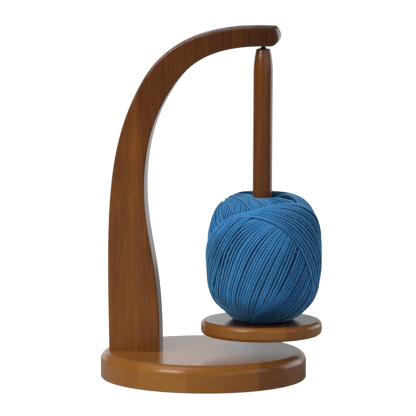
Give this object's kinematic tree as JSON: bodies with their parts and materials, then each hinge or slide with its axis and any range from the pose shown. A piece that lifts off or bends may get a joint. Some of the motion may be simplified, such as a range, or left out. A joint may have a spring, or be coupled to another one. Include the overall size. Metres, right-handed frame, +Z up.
{
  "type": "yarn holder",
  "caption": "Wooden yarn holder: a curved arm on a round base, with a spindle and tray hanging from its tip that turn freely under a wound ball of yarn.",
  "frame": {"origin": "centre of the pad's underside, on the surface that the holder stands on", "axes": "+Z up along the spindle, +X from the arm's foot towards the spindle, the arm in the XZ plane"},
  "size_m": [0.183, 0.17, 0.2928],
  "materials": {
    "stained_wood": "walnut stain under satin lacquer",
    "plain_wood": "bare beech",
    "pad": "matte foam rubber",
    "steel": "bright steel",
    "magnet": "nickel plate",
    "yarn": "matte plied yarn"
  },
  "bodies": {
    "frame": {"base_pad": "pad", "base": "stained_wood", "arm": "stained_wood", "arm_screw_1": "steel", "arm_screw_2": "steel", "arm_dowel_1": "plain_wood", "arm_dowel_2": "plain_wood", "arm_magnet": "magnet"},
    "pivot": {"pivot_ball": "steel"},
    "seat": {"ball_seat": "steel"},
    "magnet": {"spindle_magnet": "magnet"},
    "spindle": {"spindle_rod": "stained_wood", "tray": "stained_wood", "tray_screw": "steel"},
    "yarn": {"yarn_ball": "yarn"}
  },
  "joints": [
    {"name": "spindle_release", "type": "slide", "parent": "frame", "child": "pivot", "axis": [0, 0, -1], "range_m": [0, 0.008]},
    {"name": "swing_side", "type": "hinge", "parent": "pivot", "child": "seat", "pos_m": [0.048, 0, 0.27318], "axis": [0, 1, 0], "range_deg": [-12, 6]},
    {"name": "swing_fore", "type": "hinge", "parent": "seat", "child": "magnet", "pos_m": [0.048, 0, 0.27318], "axis": [1, 0, 0], "range_deg": [-12, 12]},
    {"name": "spindle_spin", "type": "hinge", "parent": "magnet", "child": "spindle", "pos_m": [0.048, 0, 0.27318], "axis": [0, 0, 1], "continuous": true},
    {"name": "yarn_lift", "type": "slide", "parent": "spindle", "child": "yarn", "axis": [0, 0, 1], "range_m": [0, 0.09]}
  ]
}
